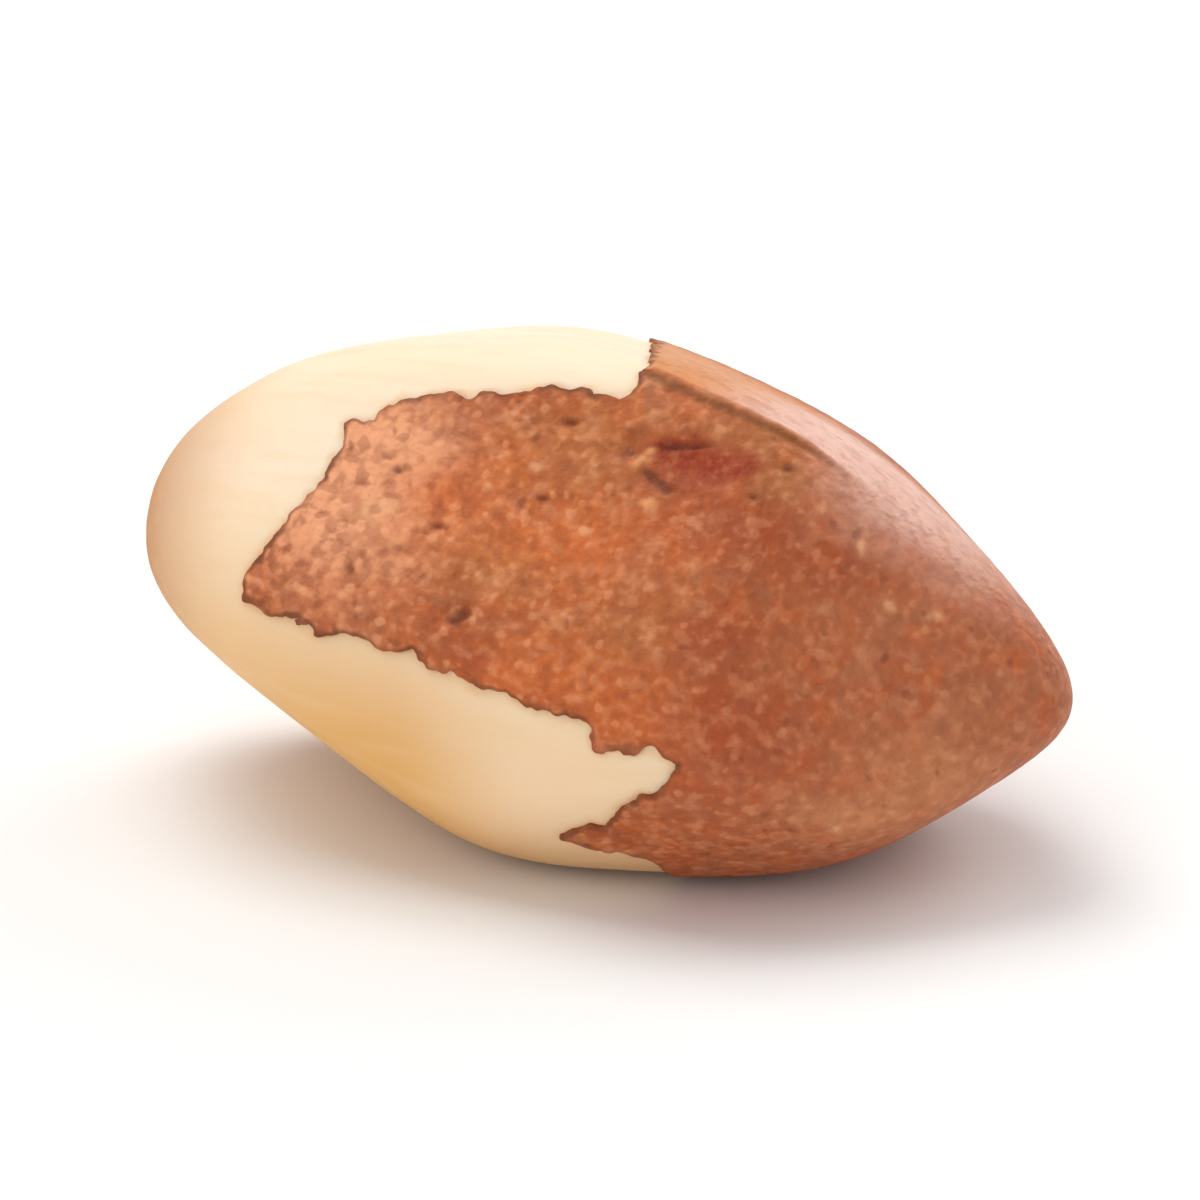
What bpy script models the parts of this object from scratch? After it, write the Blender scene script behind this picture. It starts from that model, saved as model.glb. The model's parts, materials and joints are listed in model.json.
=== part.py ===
"""A shelled brazil nut kernel that lies on its side, with part of its brown skin torn away.

Metres, +Z up. +X runs along the kernel, -Y is the side with the long tear, and the origin
is on the ground under the middle of the kernel's box. Sizes below are in millimetres.
"""
import math

import bmesh
import bpy
import numpy as np
from mathutils import Matrix, Vector, noise

MM = 0.001

# The round form that the kernel would have grown to alone in its pod: half sizes along X, Y and Z
HALF_SIZES = np.array([19.3, 10.7, 10.4])

# The faces that its neighbours in the pod pressed on it: the way each one looks, as a roll in
# degrees (0 front, 90 up, 180 back) and a tilt toward +X, and its distance from the middle
PRESSED_FACES = {
    "front": (38, 0, 8.2),
    "front_edge": (4, -3, 9.5),
    "low_front": (-50, 12, 10.2),
    "crest": (114, 15, 8.2),
    "top": (102, -8, 8.8),
    "back": (198, 0, 8.7),
    "belly": (-90, 1.5, 8.0),
    "left_under": (-58, -27, 9.7),
    "left_end": (10, -62, 15.6),
    "left_back": (190, -45, 13.0),
    "left_over": (108, -38, 11.8),
    "right_over": (122, 35, 9.9),
    "right_under": (-86, 38, 12.1),
    "right_front": (26, 40, 11.4),
    "right_back": (162, 44, 12.2),
    "right_keel": (74, 38, 12.0),
}
EDGE_SHARPNESS = 14
GRID = 26

# Broad unevenness of the growth
SWELL_HEIGHT = 0.1
SWELL_LENGTH = 7.0

# The view in which the marks on the front are placed: degrees to the right of the front, and above it.
# A place in it is millimetres across to the right and up, from the middle of the kernel.
VIEW_AZIMUTH = 25
VIEW_ELEVATION = 20

# The keel between the front and the crest, and the places along X between which it fades out
KEEL = [
    (1.5, 7.0), (3.2, 6.2), (4.9, 5.4), (6.6, 4.5), (7.7, 3.7), (8.8, 2.9), (9.9, 2.1), (11.0, 1.2),
]
KEEL_HEIGHT = 0.1
KEEL_HALF_WIDTH = 0.5
KEEL_FADE = (8, 11)

# Dents in the skin: place in the view, half length, half width, turn in degrees, depth
DENTS = {
    "scar": (2.5, 4.2, 1.5, 0.8, -10, 0.28),
    "scar_side": (0.8, 4.8, 0.7, 0.35, 40, 0.22),
    "pit": (-4.8, -0.7, 0.45, 0.4, 0, 0.25),
    "small_pit": (-1.2, 5.5, 0.5, 0.35, 0, 0.15),
}

# The torn edge of the skin: across the front, places in the view from the top to the ground,
# and then round under and behind, places along X with their roll in degrees
SKIN_THICKNESS = 0.16
FRONT_TEAR = [
    (1.5, 7.9), (1.3, 7.2), (0.9, 6.6), (0.4, 6.2), (-0.4, 6.4), (-1.7, 6.6), (-3.4, 6.4), (-4.7, 6.4),
    (-5.9, 6.4), (-6.9, 6.1), (-7.6, 5.6), (-8.6, 5.5), (-8.7, 4.7), (-9.2, 3.7), (-9.9, 2.9), (-10.7, 2.0),
    (-11.6, 0.9), (-11.9, -0.1), (-11.1, -0.6), (-10.1, -1.0), (-9.4, -1.3), (-8.1, -1.4), (-7.4, -1.9),
    (-6.4, -1.9), (-5.4, -2.5), (-4.2, -3.1), (-2.9, -3.5), (-1.4, -4.0), (-0.7, -4.2), (-0.3, -5.0),
    (0.3, -5.1), (1.5, -5.0), (2.2, -5.5), (1.8, -6.2), (0.5, -6.8), (-0.1, -7.5), (-1.2, -7.6),
    (-1.4, -7.9), (-0.2, -8.3), (1.3, -8.6), (1.7, -8.9),
]
BACK_TEAR = [
    (4.6, -78), (5.6, -90), (5.0, -100), (6.4, -112), (3.0, -122), (0.6, -130), (-0.8, -140), (-4.6, -146),
    (-4.0, -157), (-7.2, -163), (-9.8, -174), (-9.0, -186), (-6.2, -190), (-6.6, -202), (-3.4, -206),
    (-2.6, -212), (-1.2, -226), (-0.3, -238), (0.3, -249),
]
RAGGED_DEPTH = 0.15
RAGGED_LENGTH = 1.3

# The flat spot that the kernel lies on: how much of the belly it takes off
REST_CUT = 0.12

# Length for unrolling a turn about X into millimetres round the kernel
GIRTH_RADIUS = 9.0

# The grid is twice as fine this near to the tear, to the keel and to a dent's middle
FINE_BAND = 0.45
FINE_ROUND_DENT = 1.5

# A grid point within this share of an edge from the tear moves onto it
SNAP_SHARE = 0.3

# Points closer than this become one
WELD_DISTANCE = 0.02

# Steps and halvings in the search for the point where a line of sight meets the form
SIGHT_STEPS = 97
SIGHT_HALVINGS = 30

SKIN_COLOUR = (0.39, 0.17, 0.085, 1)
SKIN_ROUGHNESS = 0.6
BARE_COLOUR = (0.83, 0.68, 0.42, 1)
BARE_ROUGHNESS = 0.45


def facing(roll, tilt):
    """The unit vector that looks this way."""
    roll, tilt = math.radians(roll), math.radians(tilt)
    return np.array([math.sin(tilt), -math.cos(tilt) * math.cos(roll), math.cos(tilt) * math.sin(roll)])


def form_size(points):
    """How far out each point lies: 1 on the kernel's plain form and less inside it."""
    total = np.linalg.norm(points / HALF_SIZES, axis=-1) ** EDGE_SHARPNESS
    for roll, tilt, distance in PRESSED_FACES.values():
        pressed = np.maximum(points @ facing(roll, tilt) / distance, 0)
        total = total + pressed ** EDGE_SHARPNESS
    return total ** (1 / EDGE_SHARPNESS)


def on_form(points):
    """Each point moved along its own radius onto the plain form."""
    return points / form_size(points)[..., None]


def outward(points):
    """The plain form's outward unit vector at each point."""
    reach = 0.01
    slope = [form_size(points + reach * axis) - form_size(points - reach * axis) for axis in np.eye(3)]
    slope = np.stack(slope, axis=-1)
    return slope / np.linalg.norm(slope, axis=-1, keepdims=True)


def seen_on_form(across, up):
    """The point of the plain form that shows at a place in the view."""
    azimuth, elevation = math.radians(VIEW_AZIMUTH), math.radians(VIEW_ELEVATION)
    right = np.array([math.cos(azimuth), math.sin(azimuth), 0])
    toward = np.array([math.sin(azimuth) * math.cos(elevation), -math.cos(azimuth) * math.cos(elevation),
                       math.sin(elevation)])
    base = across * right + up * np.cross(toward, right)
    reach = HALF_SIZES.max()
    depths = np.linspace(-reach, reach, SIGHT_STEPS)
    inner = depths[np.argmin(form_size(base + depths[:, None] * toward))]
    outer = 2 * reach
    for _ in range(SIGHT_HALVINGS):
        middle = (inner + outer) / 2
        if form_size(base + middle * toward) < 1:
            inner = middle
        else:
            outer = middle
    return on_form(base + inner * toward)


def unroll(points):
    """Places along the kernel and round it, in millimetres."""
    roll = np.arctan2(points[..., 2], -points[..., 1])
    return np.stack([points[..., 0], roll * GIRTH_RADIUS], axis=-1)


def distance_to_line(places, line):
    """Distance from each unrolled place to a line of them."""
    start = line[:-1]
    step = line[1:] - line[:-1]
    offset = places[:, None, :] - start
    share = np.clip((offset * step).sum(-1) / (step ** 2).sum(-1), 0, 1)
    return np.linalg.norm(offset - share[..., None] * step, axis=-1).min(axis=1)


def tear_line():
    """The torn edge, unrolled, three times round the kernel so that it has no ends near it."""
    front = unroll(np.array([seen_on_form(*place) for place in FRONT_TEAR]))
    back = np.array([(x, math.radians(roll) * GIRTH_RADIUS) for x, roll in BACK_TEAR])
    loop = np.concatenate([front, back])
    once_round = np.array([0, 2 * math.pi * GIRTH_RADIUS])
    return np.concatenate([loop + once_round, loop, loop - once_round])


def uneven(points, length):
    """Smooth unevenness between about -1 and 1, with waves of this length."""
    return np.array([noise.noise(Vector(point) / length) for point in points])


def skin_depth(points, line):
    """How far each point lies inside the torn edge, negative where the kernel is bare."""
    places = unroll(points)
    start, end = line[:-1], line[1:]
    along, round_it = places[:, None, 0], places[:, None, 1]
    crosses = (start[:, 1] > round_it) != (end[:, 1] > round_it)
    rise = np.where(start[:, 1] == end[:, 1], 1, end[:, 1] - start[:, 1])
    crossing = start[:, 0] + (round_it - start[:, 1]) / rise * (end[:, 0] - start[:, 0])
    on_right = (crosses & (crossing < along)).sum(axis=1) % 2 == 1
    distance = distance_to_line(places, line)
    return np.where(on_right, distance, -distance) + RAGGED_DEPTH * uneven(points, RAGGED_LENGTH)


def from_keel(points):
    """Distance of each point from the keel."""
    keel = unroll(np.array([seen_on_form(*place) for place in KEEL]))
    return distance_to_line(unroll(points), keel)


def relief(points):
    """Height of each point's surface over the plain form: swells, the keel and the dents."""
    height = SWELL_HEIGHT * uneven(points, SWELL_LENGTH)
    fade = np.interp(points[:, 0], KEEL_FADE, (1, 0))
    height += KEEL_HEIGHT * fade * np.exp(-(from_keel(points) / KEEL_HALF_WIDTH) ** 2)
    for across, up, half_length, half_width, turn, depth in DENTS.values():
        offset = unroll(points) - unroll(seen_on_form(across, up))
        cos, sin = math.cos(math.radians(turn)), math.sin(math.radians(turn))
        lengthwise = (offset[:, 0] * cos + offset[:, 1] * sin) / half_length
        crosswise = (offset[:, 1] * cos - offset[:, 0] * sin) / half_width
        height -= depth * np.exp(-lengthwise ** 2 - crosswise ** 2)
    return height


def coordinates(verts):
    """The places of some vertices as one array."""
    return np.array([vert.co[:] for vert in verts])


def move_to(verts, points):
    """Moves each vertex to its point."""
    for vert, point in zip(verts, points):
        vert.co = point


def plain_form():
    """A closed grid of square faces over the kernel's plain form, in millimetres."""
    bm = bmesh.new()
    bmesh.ops.create_cube(bm, size=2)
    bmesh.ops.subdivide_edges(bm, edges=bm.edges[:], cuts=GRID - 1, use_grid_fill=True)
    cube = np.tan(coordinates(bm.verts) * math.pi / 4)
    ball = cube / np.linalg.norm(cube, axis=-1, keepdims=True)
    move_to(bm.verts, on_form(ball * HALF_SIZES))
    return bm


def refine(bm, line):
    """Halves the grid's edges along the tear and the keel and in the dents."""
    middles = np.array([(edge.verts[0].co + edge.verts[1].co) / 2 for edge in bm.edges])
    near = (np.abs(skin_depth(middles, line)) < FINE_BAND) | (from_keel(middles) < FINE_BAND)
    for across, up, *_ in DENTS.values():
        near |= np.linalg.norm(middles - seen_on_form(across, up), axis=-1) < FINE_ROUND_DENT
    edges = [edge for edge, chosen in zip(bm.edges, near) if chosen]
    bmesh.ops.subdivide_edges(bm, edges=edges, cuts=1, use_grid_fill=True)
    move_to(bm.verts, on_form(coordinates(bm.verts)))


def crossing_share(depths, vert, edge):
    """Share of the edge from this vertex to the tear, or 1 where the tear misses the edge."""
    near, far = depths[vert], depths[edge.other_vert(vert)]
    return near / (near - far) if near * far < 0 else 1


def cut_along_tear(bm, line):
    """Moves and adds vertices so that edges run along the tear, and gives each vertex's depth."""
    bm.verts.index_update()
    depths = dict(zip(bm.verts, skin_depth(coordinates(bm.verts), line)))
    for vert in bm.verts:
        edge = min(vert.link_edges, key=lambda edge: crossing_share(depths, vert, edge))
        share = crossing_share(depths, vert, edge)
        if share < SNAP_SHARE:
            moved = np.array(vert.co.lerp(edge.other_vert(vert).co, share))
            vert.co = on_form(moved)
            depths[vert] = 0
    for edge in bm.edges[:]:
        start, end = edge.verts
        if depths[start] * depths[end] < 0:
            share = crossing_share(depths, start, edge)
            _, added = bmesh.utils.edge_split(edge, start, share)
            added.co = on_form(np.array(added.co))
            depths[added] = 0
    on_tear = [vert for vert in bm.verts if depths[vert] == 0]
    bmesh.ops.connect_verts(bm, verts=on_tear)
    return depths


def skin_faces(bm, depths):
    """The faces inside the torn edge."""
    return [face for face in bm.faces if sum(depths[vert] for vert in face.verts) > 0]


def raise_skin(bm, faces):
    """Lifts the skin's faces off the kernel by the skin's thickness, with a wall along the tear."""
    lifted = bmesh.ops.extrude_face_region(bm, geom=faces)["geom"]
    bmesh.ops.delete(bm, geom=faces, context="FACES")
    verts = [item for item in lifted if isinstance(item, bmesh.types.BMVert)]
    points = coordinates(verts)
    move_to(verts, points + SKIN_THICKNESS * outward(points))
    for item in lifted:
        if isinstance(item, bmesh.types.BMFace):
            item.material_index = 1
            item.smooth = True


def flatten_rest(bm):
    """Presses the lowest part of the belly flat."""
    level = min(vert.co.z for vert in bm.verts) + REST_CUT
    for vert in bm.verts:
        vert.co.z = max(vert.co.z, level)
    bmesh.ops.remove_doubles(bm, verts=bm.verts[:], dist=WELD_DISTANCE)


def stand_on_origin(bm):
    """Puts the origin under the middle of the box, at ground level."""
    points = coordinates(bm.verts)
    low, high = points.min(axis=0), points.max(axis=0)
    middle = (low + high) / 2
    bmesh.ops.translate(bm, vec=(-middle[0], -middle[1], -low[2]), verts=bm.verts[:])


def make_material(name, colour, roughness):
    """A plain surface of one colour."""
    material = bpy.data.materials.new(name)
    material.use_nodes = True
    shader = material.node_tree.nodes["Principled BSDF"]
    shader.inputs["Base Color"].default_value = colour
    shader.inputs["Roughness"].default_value = roughness
    shader.inputs["Metallic"].default_value = 0
    return material


def make_kernel(collection):
    """The whole kernel as one solid."""
    bm = plain_form()
    line = tear_line()
    refine(bm, line)
    depths = cut_along_tear(bm, line)
    for face in bm.faces:
        face.smooth = True
    skin = skin_faces(bm, depths)
    points = coordinates(bm.verts)
    move_to(bm.verts, points + relief(points)[:, None] * outward(points))
    raise_skin(bm, skin)
    flatten_rest(bm)
    stand_on_origin(bm)
    bmesh.ops.triangulate(bm, faces=bm.faces[:])
    bmesh.ops.transform(bm, matrix=Matrix.Scale(MM, 4), verts=bm.verts[:])
    bm.normal_update()
    mesh = bpy.data.meshes.new("kernel")
    bm.to_mesh(mesh)
    bm.free()
    mesh.materials.append(make_material("bare kernel", BARE_COLOUR, BARE_ROUGHNESS))
    mesh.materials.append(make_material("brown skin", SKIN_COLOUR, SKIN_ROUGHNESS))
    kernel = bpy.data.objects.new("kernel", mesh)
    collection.objects.link(kernel)


def main():
    for item in list(bpy.data.objects):
        bpy.data.objects.remove(item, do_unlink=True)
    collection = bpy.data.collections.new("brazil nut")
    bpy.context.scene.collection.children.link(collection)
    make_kernel(collection)


main()
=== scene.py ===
"""The look of a shelled brazil nut that lies on its side, part of its brown skin torn away."""
import json
import math

import bpy
import numpy as np
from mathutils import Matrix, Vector, noise

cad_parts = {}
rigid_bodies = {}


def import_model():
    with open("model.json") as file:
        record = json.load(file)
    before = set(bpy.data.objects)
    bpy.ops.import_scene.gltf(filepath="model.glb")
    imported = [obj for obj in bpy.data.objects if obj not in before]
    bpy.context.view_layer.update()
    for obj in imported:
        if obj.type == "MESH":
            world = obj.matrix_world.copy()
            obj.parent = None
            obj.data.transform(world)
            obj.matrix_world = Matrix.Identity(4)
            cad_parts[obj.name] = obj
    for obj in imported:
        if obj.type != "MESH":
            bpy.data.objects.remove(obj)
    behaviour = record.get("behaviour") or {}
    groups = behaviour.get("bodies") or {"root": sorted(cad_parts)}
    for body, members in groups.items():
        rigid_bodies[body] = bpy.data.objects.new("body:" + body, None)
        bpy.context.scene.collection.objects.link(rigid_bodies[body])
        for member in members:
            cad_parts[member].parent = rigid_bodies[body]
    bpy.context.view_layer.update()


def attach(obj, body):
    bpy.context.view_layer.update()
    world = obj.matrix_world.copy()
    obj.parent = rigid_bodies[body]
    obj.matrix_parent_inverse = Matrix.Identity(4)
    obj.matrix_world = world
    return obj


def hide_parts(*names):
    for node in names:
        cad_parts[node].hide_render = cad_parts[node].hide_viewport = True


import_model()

# The kernel: the cream, waxy seed itself. It grew as a round lens in a pod, and its neighbours
# pressed flat faces on it. It is shaped from a cube whose fine grid is drawn out onto that form,
# in millimetres about its own middle. It is a little darker where the skin has just been torn off.
MM = 0.001
HALF_SIZES = np.array([19.3, 10.7, 10.4])
PRESSED_FACES = [  # the way each one looks: roll (0 front, 90 up) and tilt in degrees, and its distance
    (38, 0, 8.2), (4, -3, 9.5), (-50, 12, 10.2), (114, 15, 8.2), (102, -8, 8.8), (198, 0, 8.7),
    (-90, 1.5, 8.0), (-58, -27, 9.7), (10, -62, 15.6), (190, -45, 13.0), (108, -38, 11.8),
    (122, 35, 9.9), (-86, 38, 12.1), (26, 40, 11.4), (162, 44, 12.2), (74, 38, 12.0),
]
EDGE_SHARPNESS = 14
KERNEL_GRID = (45, 2)  # squares along an edge of the cube, and the parts that each is then cut into
GIRTH_RADIUS = 9.0  # unrolls a turn about X into millimetres
SWELL_HEIGHT = 0.1
SWELL_LENGTH = 7.0
STREAKS = [(0.012, (5, 0.7, 0.7)), (0.02, (2.5, 1.5, 1.5))]  # their height, and their length each way
VIEW_AZIMUTH = math.radians(25)
VIEW_ELEVATION = math.radians(20)
VIEW_RIGHT = np.array([math.cos(VIEW_AZIMUTH), math.sin(VIEW_AZIMUTH), 0])
VIEW_TOWARD = np.array([math.sin(VIEW_AZIMUTH) * math.cos(VIEW_ELEVATION),
                        -math.cos(VIEW_AZIMUTH) * math.cos(VIEW_ELEVATION), math.sin(VIEW_ELEVATION)])
VIEW_UP = np.cross(VIEW_TOWARD, VIEW_RIGHT)
SIGHT_REACH = 20  # past the form on every side
SIGHT_STEPS = 97
SIGHT_HALVINGS = 30
KEEL = [  # places in the view, across and up
    (1.5, 7.0), (3.2, 6.2), (4.9, 5.4), (6.6, 4.5), (7.7, 3.7), (8.8, 2.9), (9.9, 2.1), (11.0, 1.2),
    (12.1, 0.1), (13.0, -1.0),
]
KEEL_HEIGHT = 0.1
KEEL_HALF_WIDTH = 0.5
KEEL_FADE = (8, 11)  # places along X between which it fades out
DENTS = [  # across and up in the view, half length, half width, turn in degrees, depth
    (2.5, 4.2, 1.5, 0.8, -10, 0.28),
    (0.8, 4.8, 0.7, 0.35, 40, 0.22),
    (-4.8, -0.7, 0.45, 0.4, 0, 0.25),
    (-1.2, 5.5, 0.5, 0.35, 0, 0.15),
]


def facing(roll, tilt):
    """The unit vector that looks this way."""
    roll, tilt = math.radians(roll), math.radians(tilt)
    return np.array([math.sin(tilt), -math.cos(tilt) * math.cos(roll), math.cos(tilt) * math.sin(roll)])


def form_size(points):
    """How far out each point lies: 1 on the kernel's plain form and less inside it."""
    total = np.linalg.norm(points / HALF_SIZES, axis=-1) ** EDGE_SHARPNESS
    for roll, tilt, distance in PRESSED_FACES:
        total = total + np.maximum(points @ facing(roll, tilt) / distance, 0) ** EDGE_SHARPNESS
    return total ** (1 / EDGE_SHARPNESS)


def on_form(points):
    """Each point moved along its own radius onto the plain form."""
    return points / form_size(points)[..., None]


def outward(points):
    """The plain form's outward unit vector at each point."""
    reach = 0.01
    slope = np.stack([form_size(points + reach * axis) - form_size(points - reach * axis)
                      for axis in np.eye(3)], axis=-1)
    return slope / np.linalg.norm(slope, axis=-1, keepdims=True)


def seen_on_form(across, up):
    """The point of the plain form that shows at a place in the view."""
    base = across * VIEW_RIGHT + up * VIEW_UP
    depths = np.linspace(-SIGHT_REACH, SIGHT_REACH, SIGHT_STEPS)
    inner = depths[np.argmin(form_size(base + depths[:, None] * VIEW_TOWARD))]
    outer = 2 * SIGHT_REACH
    for _ in range(SIGHT_HALVINGS):
        middle = (inner + outer) / 2
        if form_size(base + middle * VIEW_TOWARD) < 1:
            inner = middle
        else:
            outer = middle
    return on_form(base + inner * VIEW_TOWARD)


def unroll(points):
    """Places along the kernel and round it, in millimetres."""
    roll = np.arctan2(points[..., 2], -points[..., 1])
    return np.stack([points[..., 0], roll * GIRTH_RADIUS], axis=-1)


def distance_to_line(places, line):
    """Distance from each unrolled place to a line of them."""
    nearest = np.full(len(places), np.inf)
    for start, end in zip(line[:-1], line[1:]):
        step = end - start
        offset = places - start
        share = np.clip(offset @ step / (step @ step), 0, 1)
        nearest = np.minimum(nearest, np.linalg.norm(offset - share[:, None] * step, axis=-1))
    return nearest


def uneven(points, length):
    """Smooth unevenness between about -1 and 1, with waves of this length or lengths."""
    return np.array([noise.noise(Vector(point)) for point in points / length])


def beyond_keel(points):
    """Distance of each point from the keel, negative on its front side."""
    places = unroll(points)
    keel = unroll(np.array([seen_on_form(*place) for place in KEEL]))
    side = np.sign(places[:, 1] - np.interp(places[:, 0], keel[:, 0], keel[:, 1]))
    return side * distance_to_line(places, keel)


def relief(points):
    """Height of each point's surface over the plain form: swells, the keel and the dents."""
    height = SWELL_HEIGHT * uneven(points, SWELL_LENGTH)
    fade = np.interp(points[:, 0], KEEL_FADE, (1, 0))
    height += KEEL_HEIGHT * fade * np.exp(-(beyond_keel(points) / KEEL_HALF_WIDTH) ** 2)
    for across, up, half_length, half_width, turn, depth in DENTS:
        offset = unroll(points) - unroll(seen_on_form(across, up))
        cos, sin = math.cos(math.radians(turn)), math.sin(math.radians(turn))
        lengthwise = (offset[:, 0] * cos + offset[:, 1] * sin) / half_length
        crosswise = (offset[:, 1] * cos - offset[:, 0] * sin) / half_width
        height -= depth * np.exp(-lengthwise ** 2 - crosswise ** 2)
    return height


def places_of(piece):
    """The vertices of a piece as one array."""
    places = np.empty(len(piece.data.vertices) * 3)
    piece.data.vertices.foreach_get("co", places)
    return places.reshape(-1, 3)


def move_to(piece, points):
    """Moves the vertices of a piece."""
    piece.data.vertices.foreach_set("co", points.ravel())
    piece.data.update()


def mark(piece, name, values):
    """Keeps a number at each vertex for the material to read."""
    piece.data.attributes.new(name, "FLOAT", "POINT").data.foreach_set("value", values)


def grown_form(name, grid):
    """A smooth closed grid of square faces on the plain form."""
    bpy.ops.object.select_all(action="DESELECT")
    bpy.ops.mesh.primitive_cube_add(size=2)
    piece = bpy.context.object
    piece.name = name
    bpy.ops.object.mode_set(mode="EDIT")
    for parts in grid:
        bpy.ops.mesh.subdivide(number_cuts=parts - 1)
    bpy.ops.object.mode_set(mode="OBJECT")
    bpy.ops.object.shade_smooth()
    cube = np.tan(places_of(piece) * math.pi / 4)
    ball = cube / np.linalg.norm(cube, axis=-1, keepdims=True)
    move_to(piece, on_form(ball * HALF_SIZES))
    return piece


FRONT_TEAR = [  # where the skin tore: across the front as places in the view, from the top to the ground
    (1.5, 7.9), (1.3, 7.2), (0.9, 6.6), (0.4, 6.2), (-0.4, 6.4), (-1.7, 6.6), (-3.4, 6.4), (-4.7, 6.4),
    (-5.9, 6.4), (-6.9, 6.1), (-7.6, 5.6), (-8.6, 5.5), (-8.7, 4.7), (-9.2, 3.7), (-9.9, 2.9), (-10.7, 2.0),
    (-11.6, 0.9), (-11.9, -0.1), (-11.1, -0.6), (-10.1, -1.0), (-9.4, -1.3), (-8.1, -1.4), (-7.4, -1.9),
    (-6.4, -1.9), (-5.4, -2.5), (-4.2, -3.1), (-2.9, -3.5), (-1.4, -4.0), (-0.7, -4.2), (-0.3, -5.0),
    (0.3, -5.1), (1.5, -5.0), (2.2, -5.5), (1.8, -6.2), (0.5, -6.8), (-0.1, -7.5), (-1.2, -7.6),
    (-1.4, -7.9), (-0.2, -8.3), (1.3, -8.6), (1.7, -8.9),
]
BACK_TEAR = [  # on round under and behind, places along the kernel with their roll in degrees
    (4.6, -78), (5.6, -90), (5.0, -100), (6.4, -112), (3.0, -122), (0.6, -130), (-0.8, -140), (-4.6, -146),
    (-4.0, -157), (-7.2, -163), (-9.8, -174), (-9.0, -186), (-6.2, -190), (-6.6, -202), (-3.4, -206),
    (-2.6, -212), (-1.2, -226), (-0.3, -238), (0.3, -249),
]
RAGGED = [(1.3, 0.12), (0.62, 0.22), (0.3, 0.13)]  # length of the waves along it, and their depth

front = unroll(np.array([seen_on_form(*place) for place in FRONT_TEAR]))
back = np.array([(x, math.radians(roll) * GIRTH_RADIUS) for x, roll in BACK_TEAR])
once_round = np.array([0, 2 * math.pi * GIRTH_RADIUS])
tear = np.concatenate([back + once_round, front, back])


def skin_depth(points):
    """How far each point lies inside the torn edge, negative where the kernel is bare."""
    places = unroll(points)
    on_right = np.zeros(len(places), bool)
    for start, end in zip(tear[:-1], tear[1:]):
        if start[1] != end[1]:
            crosses = (start[1] > places[:, 1]) != (end[1] > places[:, 1])
            crossing = start[0] + (places[:, 1] - start[1]) / (end[1] - start[1]) * (end[0] - start[0])
            on_right ^= crosses & (crossing < places[:, 0])
    distance = distance_to_line(places, tear)
    depth = np.where(on_right, distance, -distance)
    for length, reach in RAGGED:
        depth += reach * uneven(points, length)
    return depth


kernel = grown_form("nutmeat", KERNEL_GRID)
bare_form = places_of(kernel)
bare_height = relief(bare_form)
for streak_height, lengths in STREAKS:
    bare_height += streak_height * uneven(bare_form, np.array(lengths))
bare = bare_form + bare_height[:, None] * outward(bare_form)
mark(kernel, "bared", -skin_depth(bare_form))


class Wire:
    """One output of a material's nodes. Python's sums on it add Math nodes."""

    def __init__(self, socket):
        self.socket = socket

    def node(self, kind, settings=None, inputs=None, output=0):
        """Adds a node: its type, its settings, and the values or wires of its inputs."""
        tree = self.socket.id_data
        added = tree.nodes.new(kind)
        for name, value in (settings or {}).items():
            setattr(added, name, value)
        for name, value in (inputs or {}).items():
            if isinstance(value, Wire):
                tree.links.new(value.socket, added.inputs[name])
            else:
                added.inputs[name].default_value = value
        return Wire(added.outputs[output])

    def math(self, operation, *values):
        """A sum on numbers."""
        return self.node("ShaderNodeMath", {"operation": operation}, dict(enumerate(values)))

    def __add__(self, other):
        return self.math("ADD", self, other)

    def __sub__(self, other):
        return self.math("SUBTRACT", self, other)

    def __rsub__(self, other):
        return self.math("SUBTRACT", other, self)

    def __mul__(self, other):
        return self.math("MULTIPLY", self, other)

    __radd__ = __add__
    __rmul__ = __mul__

    def between(self, low, high):
        """0 below low, 1 above high and a smooth step from one to the other."""
        ends = {"Value": self, "From Min": low, "From Max": high}
        return self.node("ShaderNodeMapRange", {"interpolation_type": "SMOOTHSTEP"}, ends)

    def mix(self, first, second):
        """The first colour where this is 0 and the second where it is 1."""
        return self.node("ShaderNodeMix", {"data_type": "RGBA"}, {0: self, 6: first, 7: second}, 2)

    def noise(self, size, detail=2, stretch=(1, 1, 1), shift=0):
        """Uneven patches of about this many millimetres, from 0 to 1, on these coordinates."""
        placed = self.node("ShaderNodeMapping", None, {0: self, 1: (shift, shift, shift), 3: stretch})
        return placed.node("ShaderNodeTexNoise", None,
                           {"Vector": placed, "Scale": 1 / (size * MM), "Detail": detail})

    def grains(self, size, output=0):
        """Cells of about this many millimetres: the distance from their middles, or a tone of each one."""
        return self.node("ShaderNodeTexVoronoi", {"feature": "SMOOTH_F1"},
                         {"Vector": self, "Scale": 1 / (size * MM), "Smoothness": 1}, output)

    def kept(self, name):
        """The number that the mesh keeps under this name."""
        return self.node("ShaderNodeAttribute", {"attribute_name": name}, None, 2)

    def along(self, axis):
        """The place along this axis, 0 to 2 for X to Z, in millimetres."""
        return self.node("ShaderNodeSeparateXYZ", None, {0: self}, axis) * (1 / MM)


def colour(red, green, blue):
    """A colour as it looks, from 0 to 255, for a shader."""
    looks = np.array([red, green, blue]) / 255
    light = np.where(looks > 0.04045, ((looks + 0.055) / 1.055) ** 2.4, looks / 12.92)
    return (*light, 1)


def material(name):
    """A new material with its shader and a wire of the object's own coordinates."""
    made = bpy.data.materials.new(name)
    made.use_nodes = True
    places = made.node_tree.nodes.new("ShaderNodeTexCoord").outputs["Object"]
    return made, made.node_tree.nodes["Principled BSDF"], Wire(places)


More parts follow.
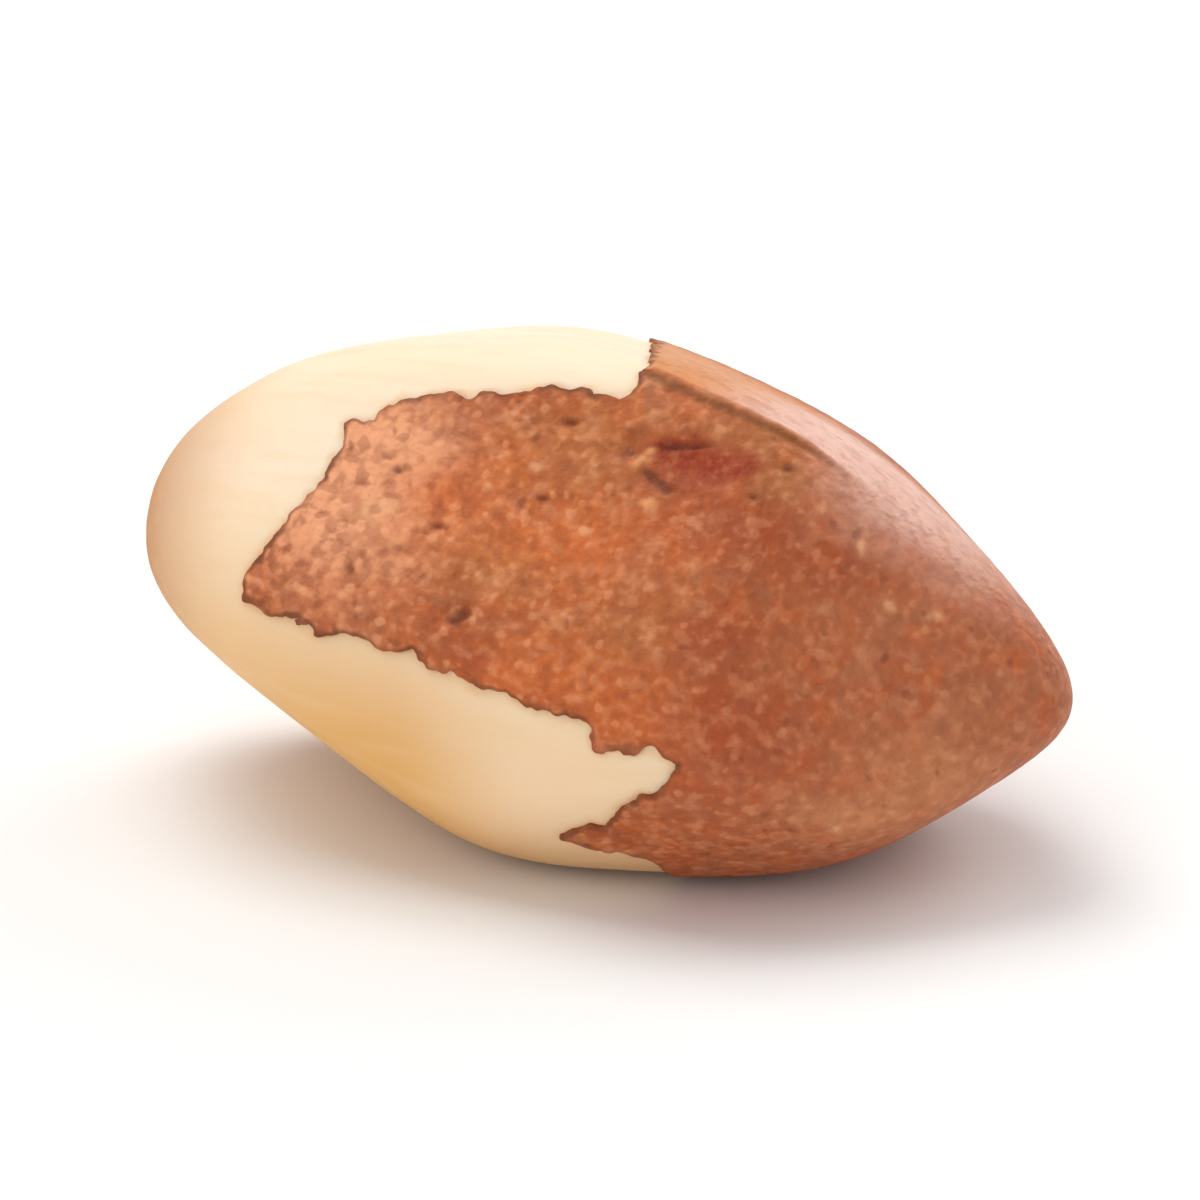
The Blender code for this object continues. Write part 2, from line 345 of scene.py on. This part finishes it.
def bump(height, depth, under=None):
    """The surface's direction with this relief, its full height in millimetres."""
    inputs = {"Height": height, "Strength": 1, "Distance": depth * MM}
    if under:
        inputs["Normal"] = under
    return height.node("ShaderNodeBump", None, inputs)


def connect(shader, **wires):
    """Feeds wires to the shader's inputs."""
    for name, wire in wires.items():
        shader.id_data.links.new(wire.socket, shader.inputs[name.replace("_", " ")])


waxy, shader, places = material("waxy kernel")
bared = places.kept("bared")
clouds = places.noise(4, 2, (0.5, 1, 1)).between(0.3, 0.7)
cream = clouds.mix(colour(248, 226, 200), colour(245, 219, 186))
fibres = places.noise(0.7, 3, (0.12, 1, 1)).between(0.45, 0.75)
cream = (0.3 * fibres).mix(cream, colour(234, 198, 146))
# Painted shade and bounce: the underside is painted darker and warmer golden, less so toward the right end.
painted_underside_shade = (1 - places.along(2).between(4, 12.5)) * (1 - 0.75 * places.along(0).between(-4, 2))
cream = (painted_underside_shade * (1 - 0.15 * fibres)).mix(cream, colour(224, 172, 100))
# Painted shade: the lowest few millimetres above the floor are painted darker and warmer.
painted_floor_shade = 1 - places.along(2).between(0.5, 4.5)
cream = (0.55 * painted_floor_shade).mix(cream, colour(216, 158, 84))
# The left end is tan: partly the kernel's own darker end, partly painted shade.
tan_and_shaded_end = 1 - places.along(0).between(-15.5, -9.5)
cream = (tan_and_shaded_end * (0.9 - 0.1 * fibres)).mix(cream, colour(180, 112, 48))
peach = (1 - bared.between(0.02, 0.4)) * (0.35 + 0.65 * places.noise(0.6).between(0.35, 0.65))
cream = (0.6 * peach).mix(cream, colour(234, 176, 120))
connect(shader, Base_Color=cream, Roughness=0.42 + 0.14 * places.noise(0.5, 3) + 0.2 * tan_and_shaded_end,
        Normal=bump(places.noise(0.35, 3, (0.5, 1, 1)), 0.012, bump(places.noise(1.4, 2), 0.03)))
shader.inputs["Subsurface Weight"].default_value = 0.35
shader.inputs["Subsurface Radius"].default_value = (1, 0.55, 0.25)
shader.inputs["Subsurface Scale"].default_value = 1.2 * MM
shader.inputs["Specular IOR Level"].default_value = 0.3
kernel.data.materials.append(waxy)

# The skin: a brown, leathery film that grew on the kernel and stayed on part of it when the shell was
# cracked off. It is the same form, cut away along the tear, lifted and grained, with a wall along the
# tear that roots it in the kernel. Both are then set down together on the flat spot of the belly.
SKIN_GRID = (54, 3)
FINE_BAND = 0.35  # the grid is twice as fine this near to the tear
BORDER_SHIFT = 0.12  # how far a border vertex may move to lie on the tear
SKIN_THICKNESS = 0.16
RIM_THINNING = 0.35  # share of the thickness that the rim lacks
RIM_BAND = 0.12
CURL_HEIGHT = 0.12
CURL_LENGTH = 2.2
CURL_BAND = 0.45
CRUMB_HEIGHT = 0.05
CRUMB = [(0.5, 0.9), (0.6, 0.38)]  # share of each wave of the grain, and its length
COARSE_ALONG = [-9, -3, 4, 10]  # places along X, and how coarse the grain is there
COARSENESS = [1, 0.65, 0.5, 0.36]
PIT_LENGTH = 0.45
PIT_LEVEL = 0.4
PIT_DEPTH = 0.05
PIT_SHIFT, CURL_SHIFT = 40, 90  # so that pits, curl and grain don't fall together
CREST = (0.05, 0, 0.15)  # height, place beyond the keel and half width of its sharp edge
GROOVE = (-0.06, -0.32, 0.16)  # the same of the groove in front of it
ROOT_DEPTH = 0.08  # how deep the wall along the tear reaches into the kernel
WALL_ANGLE = 50  # degrees: the skin's surface meets its wall in a sharp edge
REST_CUT = 0.12
MARKS = {  # what shows where on it: across and up in the view, reach across and up
    "rosy": [(-8.9, 2.7, 2.8, 2.8), (-7.0, 4.4, 2.5, 1.8)],
    "orange": [(-5.2, 3.1, 1.6, 1.0), (-1.6, 1.4, 2.8, 1.4), (-2.2, -2.4, 3.2, 1.0), (0.8, -4.1, 1.8, 1.0),
               (-3.0, 4.2, 1.2, 0.8)],
    "olive": [(-1.0, 4.6, 2.2, 1.4), (-3.6, 0.6, 1.6, 1.0), (4.3, 5.0, 2.2, 0.6), (1.0, -1.2, 1.8, 1.2),
              (5.5, 3.5, 1.2, 1.0)],
    "russet": [(4.0, -4.6, 2.6, 2.0), (4.6, 1.9, 2.2, 1.0), (-4.3, -2.1, 0.9, 0.5), (3.2, -1.4, 1.5, 0.8),
               (7.2, 0.6, 1.2, 0.8)],
    "scar": [(2.8, 4.1, 1.25, 0.9), (1.8, 4.6, 0.9, 0.4), (4.2, 4.0, 0.8, 0.4)],
    "tan": [(10.6, -5.9, 2.2, 1.3), (7.8, -7.2, 2.0, 0.8)],
    "flake": [(0.95, 4.1, 0.14, 0.14), (1.15, 4.3, 0.14, 0.14), (1.38, 4.53, 0.14, 0.14),
              (1.3, 2.8, 0.3, 0.14)],
    "pale": [(-0.4, 4.0, 0.15, 0.2), (-2.3, 4.0, 0.2, 0.15), (-0.7, 1.9, 0.2, 0.15),
             (-7.2, 2.8, 0.4, 0.25), (-7.8, 2.6, 0.15, 0.3), (9.0, -0.5, 0.2, 0.2),
             (10.5, -0.8, 0.25, 0.15), (6.9, 2.6, 0.15, 0.15), (8.1, 1.4, 0.12, 0.25),
             (-4.4, -0.9, 0.15, 0.12), (7.3, -7.5, 0.15, 0.15)],
    "dark": [(0.7, 4.5, 0.25, 0.2), (1.25, 3.85, 0.18, 0.15), (1.42, 3.68, 0.18, 0.15),
             (1.6, 3.5, 0.18, 0.15), (1.78, 3.36, 0.18, 0.15), (1.95, 3.22, 0.18, 0.15),
             (2.0, 4.7, 0.5, 0.12), (2.9, 4.7, 0.5, 0.1), (-1.2, 5.5, 0.3, 0.13),
             (-4.75, -0.75, 0.28, 0.2), (-5.0, -0.95, 0.2, 0.14), (-5.5, 2.1, 0.2, 0.12),
             (-6.8, 3.9, 0.2, 0.13), (-2.1, 3.0, 0.2, 0.12), (5.8, 3.9, 0.22, 0.13),
             (4.7, 3.0, 0.14, 0.13), (-8.3, 0.7, 0.12, 0.18)],
}
MARK_HEIGHTS = {"pale": 0.04, "flake": 0.07, "dark": -0.14}
MARK_REACH = 6  # how far behind and before its own depth a mark in the view shows
BLUSHES = [  # broad marks: share and colour of each
    ("rosy", 0.9, (240, 166, 122)), ("orange", 0.8, (206, 104, 44)), ("olive", 0.6, (184, 114, 58)),
    ("russet", 0.7, (164, 70, 34)), ("tan", 0.8, (198, 128, 84)),
]


def select_faces(piece, chosen):
    """Opens the piece for editing with these faces selected."""
    bpy.context.view_layer.objects.active = piece
    bpy.ops.object.mode_set(mode="EDIT")
    bpy.ops.mesh.select_mode(type="FACE")
    bpy.ops.mesh.select_all(action="DESELECT")
    bpy.ops.object.mode_set(mode="OBJECT")
    piece.data.polygons.foreach_set("select", chosen)
    bpy.ops.object.mode_set(mode="EDIT")


def face_means(piece, values):
    """The mean over each face's corners of a number at each vertex."""
    corners = np.empty(len(piece.data.loops), int)
    piece.data.loops.foreach_get("vertex_index", corners)
    starts = np.empty(len(piece.data.polygons), int)
    piece.data.polygons.foreach_get("loop_start", starts)
    sums = np.add.reduceat(values[corners], starts)
    return sums / np.diff(np.append(starts, len(corners)))


def seen_near(points, spots):
    """How strongly each point is marked by spots in the view, 0 to 1."""
    strength = np.zeros(len(points))
    for across, up, reach_across, reach_up in spots:
        offset = points - seen_on_form(across, up)
        strength += np.exp(-((offset @ VIEW_RIGHT) / reach_across) ** 2
                           - ((offset @ VIEW_UP) / reach_up) ** 2
                           - ((offset @ VIEW_TOWARD) / MARK_REACH) ** 2)
    return np.minimum(strength, 1)


def border_of(piece):
    """The vertices along the open edges of a piece."""
    edge_of_loop = np.empty(len(piece.data.loops), int)
    piece.data.loops.foreach_get("edge_index", edge_of_loop)
    ends = np.empty(len(piece.data.edges) * 2, int)
    piece.data.edges.foreach_get("vertices", ends)
    is_open = np.bincount(edge_of_loop, minlength=len(piece.data.edges)) == 1
    return np.unique(ends.reshape(-1, 2)[is_open])


def pulled_to_tear(points):
    """Each point moved along the form onto the tear, or as far toward it as it may."""
    here = points
    probe = 0.02
    for _ in range(3):
        slope = np.stack([skin_depth(here + probe * axis) - skin_depth(here - probe * axis)
                          for axis in np.eye(3)], axis=-1) / (2 * probe)
        normal = outward(here)
        slope -= (slope * normal).sum(axis=1)[:, None] * normal
        steepness = np.maximum((slope ** 2).sum(axis=1), 0.5)
        moved = here - (skin_depth(here) / steepness)[:, None] * slope - points
        far = np.maximum(np.linalg.norm(moved, axis=1), 1e-6)
        here = on_form(points + moved * np.minimum(1, BORDER_SHIFT / far)[:, None])
    return here


def hump(offset, height, place, half_width):
    """A smooth ridge, or a groove where its height is negative."""
    return height * np.exp(-((offset - place) / half_width) ** 2)


skin = grown_form("skin", SKIN_GRID)
select_faces(skin, np.abs(face_means(skin, skin_depth(places_of(skin)))) < FINE_BAND)
bpy.ops.mesh.subdivide(number_cuts=1)
bpy.ops.object.mode_set(mode="OBJECT")
move_to(skin, on_form(places_of(skin)))
select_faces(skin, face_means(skin, skin_depth(places_of(skin))) < 0)
bpy.ops.mesh.delete(type="FACE")
bpy.ops.mesh.select_all(action="DESELECT")
bpy.ops.object.mode_set(mode="OBJECT")
well_inside = Vector(seen_on_form(5, 0))
min(skin.data.polygons, key=lambda face: (face.center - well_inside).length).select = True
bpy.ops.object.mode_set(mode="EDIT")
bpy.ops.mesh.select_linked()
bpy.ops.mesh.select_all(action="INVERT")
bpy.ops.mesh.delete(type="FACE")
bpy.ops.object.mode_set(mode="OBJECT")

form = places_of(skin)
border = border_of(skin)
form[border] = pulled_to_tear(form[border])
rim = np.maximum(skin_depth(form), 0)
rim[border] = 0
marks = {name: seen_near(form, spots) for name, spots in MARKS.items()}
coarse = np.interp(form[:, 0], COARSE_ALONG, COARSENESS)
crumb = sum(share * uneven(form, length) for share, length in CRUMB)
pits = np.maximum(uneven(form + PIT_SHIFT, PIT_LENGTH) - PIT_LEVEL, 0) / (1 - PIT_LEVEL)
beyond = beyond_keel(form)
keel_fade = np.interp(form[:, 0], KEEL_FADE, (1, 0))
lift = relief(form) + SKIN_THICKNESS * (1 - RIM_THINNING * np.exp(-rim / RIM_BAND))
lift += CURL_HEIGHT * np.maximum(uneven(form + CURL_SHIFT, CURL_LENGTH), 0) * np.exp(-rim / CURL_BAND)
lift += keel_fade * (hump(beyond, *CREST) + hump(beyond, *GROOVE))
lift += CRUMB_HEIGHT * coarse * crumb - PIT_DEPTH * pits
for name, height in MARK_HEIGHTS.items():
    lift += height * marks[name]
covered = form + lift[:, None] * outward(form)

mark(skin, "rim", rim)
mark(skin, "pits", pits)
mark(skin, "coarse", coarse)
mark(skin, "beyond", beyond)
for name, strength in marks.items():
    mark(skin, name, strength)

everything = np.concatenate([bare, covered])
low, high = everything.min(axis=0), everything.max(axis=0)
rest_level = low[2] + REST_CUT
set_down = np.array([-(low[0] + high[0]) / 2, -(low[1] + high[1]) / 2, -rest_level])
for piece, points in ((kernel, bare), (skin, covered)):
    points[:, 2] = np.maximum(points[:, 2], rest_level)
    move_to(piece, (points + set_down) * MM)

select_faces(skin, np.zeros(len(skin.data.polygons), bool))
bpy.ops.mesh.select_mode(type="EDGE")
bpy.ops.mesh.select_non_manifold(extend=False)
bpy.ops.mesh.extrude_edges_move()
bpy.ops.object.mode_set(mode="OBJECT")
points = places_of(skin)
root = points[len(form):] / MM - set_down
root -= (SKIN_THICKNESS + ROOT_DEPTH) * outward(root)
points[len(form):] = (root + set_down) * MM
move_to(skin, points)
bpy.ops.object.shade_smooth_by_angle(angle=math.radians(WALL_ANGLE))

leathery, shader, places = material("leathery skin")
coarse = places.kept("coarse")
tone = places.noise(3, 3).between(0.35, 0.65).mix(colour(170, 84, 38), colour(186, 99, 48))
mauve = places.along(0).between(3, 14)
tone = (0.65 * mauve).mix(tone, colour(180, 106, 72))
patches = places.noise(1.1, 3, shift=0.05)
tone = (0.55 * patches.between(0.5, 0.65)).mix(tone, colour(192, 92, 38))
tone = (0.45 * (1 - patches.between(0.36, 0.5))).mix(tone, colour(172, 108, 72))
for name, share, blush in BLUSHES:
    tone = (share * places.kept(name)).mix(tone, colour(*blush))
mottle = places.noise(0.5, 5, (0.8, 1, 1), 0.07)
grains = places.grains(0.3, 1)
tone = (0.5 * coarse * mottle.between(0.5, 0.64)).mix(tone, colour(232, 156, 110))
tone = (0.5 * coarse * (1 - mottle.between(0.36, 0.5))).mix(tone, colour(142, 66, 32))
tone = (0.55 * coarse * grains.between(0.5, 0.85)).mix(tone, colour(242, 170, 122))
tone = (0.45 * coarse * (1 - grains.between(0.2, 0.5))).mix(tone, colour(134, 64, 32))
tone = (0.4 * places.kept("pits").between(0.05, 0.5)).mix(tone, colour(116, 52, 28))
field = 0.9 * places.kept("scar") * (0.7 + 0.3 * places.noise(0.3, 2, shift=0.02).between(0.4, 0.6))
tone = field.mix(tone, colour(146, 42, 12))
crisp = 1 - places.along(0).between(8, 11.5)
beyond = places.kept("beyond")
# Painted shade: a dark line in the groove in front of the crisp part of the keel.
painted_keel_shade = beyond.between(-0.5, -0.2) * (1 - beyond.between(-0.2, 0))
tone = (0.7 * crisp * painted_keel_shade).mix(tone, colour(122, 72, 36))
# The strip beyond the keel: a paler lilac skin tone with a painted sheen on it. It is also made glossier.
pale_strip_and_sheen = crisp * beyond.between(-0.1, 0.25) + 0.85 * (1 - crisp) * beyond.between(-4.2, 0.8)
pale_strip_and_sheen = pale_strip_and_sheen * (1 - beyond.between(6.5, 13)) * (1 - places.along(0).between(11.5, 16))
lilac_and_sheen = places.along(0).between(4, 8).mix(colour(218, 144, 84), colour(234, 186, 168))
tone = (0.95 * pale_strip_and_sheen * (0.7 + 0.3 * mottle.between(0.35, 0.55))).mix(tone, lilac_and_sheen)
tone = (0.7 * places.kept("dark")).mix(tone, colour(88, 32, 14))
pale = places.kept("pale") * (0.4 + 0.6 * mottle.between(0.35, 0.6))
tone = (0.6 * pale).mix(tone, colour(244, 184, 134))
tone = (0.85 * places.kept("flake")).mix(tone, colour(232, 160, 100))
# Along the tear the skin is darker: partly its own darker torn edge, partly painted shade.
near_tear = 1 - places.kept("rim").between(0.06, 0.26)
dark_rim_and_shade = near_tear * (0.35 + 0.65 * places.noise(1.2, 2).between(0.35, 0.6))
tone = (0.85 * dark_rim_and_shade).mix(tone, colour(114, 58, 24))
connect(shader, Base_Color=tone, Roughness=0.52 + 0.2 * places.noise(0.4, 2) - 0.2 * pale_strip_and_sheen,
        Normal=bump(places.noise(0.16, 3), 0.03, bump(1 - places.grains(0.3), 0.08, bump(mottle, 0.13))))
shader.inputs["Specular IOR Level"].default_value = 0.3
skin.data.materials.append(leathery)

for piece in (kernel, skin):
    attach(piece, "root")
    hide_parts("kernel")

# The floor: a plain pale sheet of paper that the nut lies on, and round it the even white air of a
# bright studio.
bpy.ops.mesh.primitive_plane_add(size=4)
floor = bpy.context.object
floor.name = "floor"
paper, shader, places = material("pale paper")
shader.inputs["Base Color"].default_value = (0.9, 0.9, 0.9, 1)
shader.inputs["Roughness"].default_value = 0.8
floor.data.materials.append(paper)
studio = bpy.data.worlds.new("studio")
studio.use_nodes = True
studio.node_tree.nodes["Background"].inputs["Color"].default_value = (1, 1, 1, 1)
studio.node_tree.nodes["Background"].inputs["Strength"].default_value = 0.62
bpy.context.scene.world = studio
bpy.context.scene.view_settings.view_transform = "Standard"

# The lights: three square soft boxes. A broad one hangs above, a weaker one stands behind, where it
# glances off the keel, and the weakest fills the front.
middle = Vector(set_down) * MM


def soft_light(name, direction, distance, size, power, tint):
    """A square light that looks at the nut from this direction."""
    lamp = bpy.data.lights.new(name, "AREA")
    lamp.size = size
    lamp.energy = power
    lamp.color = tint
    light = bpy.data.objects.new(name, lamp)
    bpy.context.scene.collection.objects.link(light)
    way = Vector(direction).normalized()
    light.location = middle + distance * way
    light.rotation_mode = "QUATERNION"
    light.rotation_quaternion = way.to_track_quat("Z", "Y")


soft_light("key", (-0.35, 0.1, 0.95), 0.5, 0.36, 1.35, (1, 0.985, 0.955))
soft_light("back", (0.35, 0.85, 0.5), 0.5, 0.35, 0.8, (1, 0.985, 0.97))
soft_light("fill", (-0.3, -0.85, 0.4), 0.6, 0.5, 0.7, (1, 0.98, 0.95))

# The camera: a long lens, at the height and side from which the photograph was taken, close enough
# for the nut to fill most of the frame.
LENS = 300
NUT_WIDTH = 30.6
SHARE_OF_FRAME = 0.77
SIDEWAYS, UPWARD = -0.26, -0.27  # from the nut's middle to the point that the camera aims at
eye = bpy.data.cameras.new("camera")
eye.lens = LENS
camera = bpy.data.objects.new("camera", eye)
bpy.context.scene.collection.objects.link(camera)
toward = Vector(VIEW_TOWARD)
aim = middle + Vector(SIDEWAYS * VIEW_RIGHT + UPWARD * VIEW_UP) * MM
camera.location = aim + toward * (NUT_WIDTH / SHARE_OF_FRAME * LENS / eye.sensor_width * MM)
camera.rotation_mode = "QUATERNION"
camera.rotation_quaternion = toward.to_track_quat("Z", "Y")
bpy.context.scene.camera = camera
